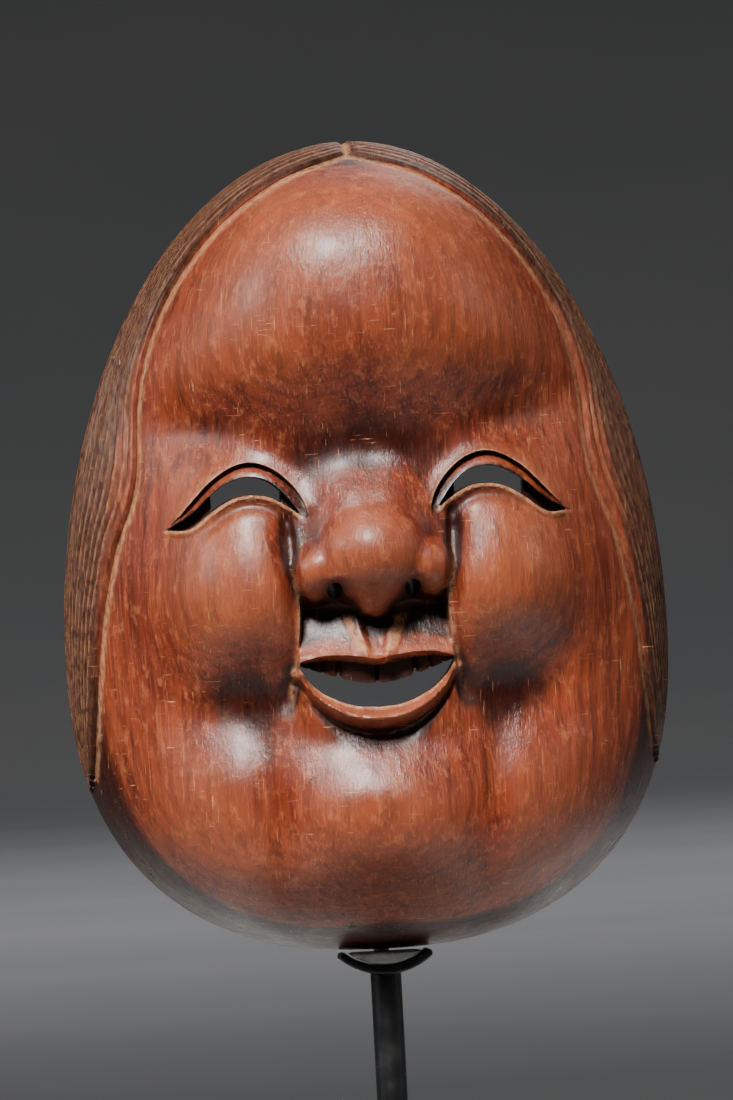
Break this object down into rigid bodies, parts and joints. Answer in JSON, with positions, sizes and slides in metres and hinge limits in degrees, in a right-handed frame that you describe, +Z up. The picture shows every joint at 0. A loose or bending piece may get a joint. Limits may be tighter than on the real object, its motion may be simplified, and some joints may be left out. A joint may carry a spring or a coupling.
{
  "type": "carved wooden mask on a display stand",
  "caption": "Hand-carved wooden mask of a smiling, plump-cheeked woman with slit eyes and open mouth, gripped at the chin by a clip on a slim black stand.",
  "frame": {"origin": "centre of the bounding box's underside, where the stand's feet meet the floor", "axes": "+Z up, +X to the viewer's right, the mask's front faces -Y"},
  "size_m": [0.157, 0.11, 0.34],
  "materials": {
    "waxed_wood": "hand-carved reddish-brown hardwood, waxed, with paler worn edges",
    "cradle_steel": "satin black paint",
    "grey_felt": "pale grey felt",
    "post_steel": "satin black paint",
    "hook_steel": "satin black paint",
    "black_rubber": "black rubber",
    "base_steel": "fine-textured black powder coat",
    "screw_steel": "plain steel",
    "foot_felt": "black felt"
  },
  "bodies": {
    "stand": {"cradle": "cradle_steel", "cradle_pad": "grey_felt", "post": "post_steel", "hook": "hook_steel", "hook_cap": "black_rubber", "base_plate": "base_steel", "base_screw": "screw_steel", "foot_front_left": "foot_felt", "foot_front_right": "foot_felt", "foot_back_left": "foot_felt", "foot_back_right": "foot_felt"},
    "mask": {"mask": "waxed_wood"}
  },
  "joints": [
    {"name": "mask_off", "type": "slide", "parent": "stand", "child": "mask", "axis": [0, -1, 0], "range_m": [0, 0.05]}
  ]
}
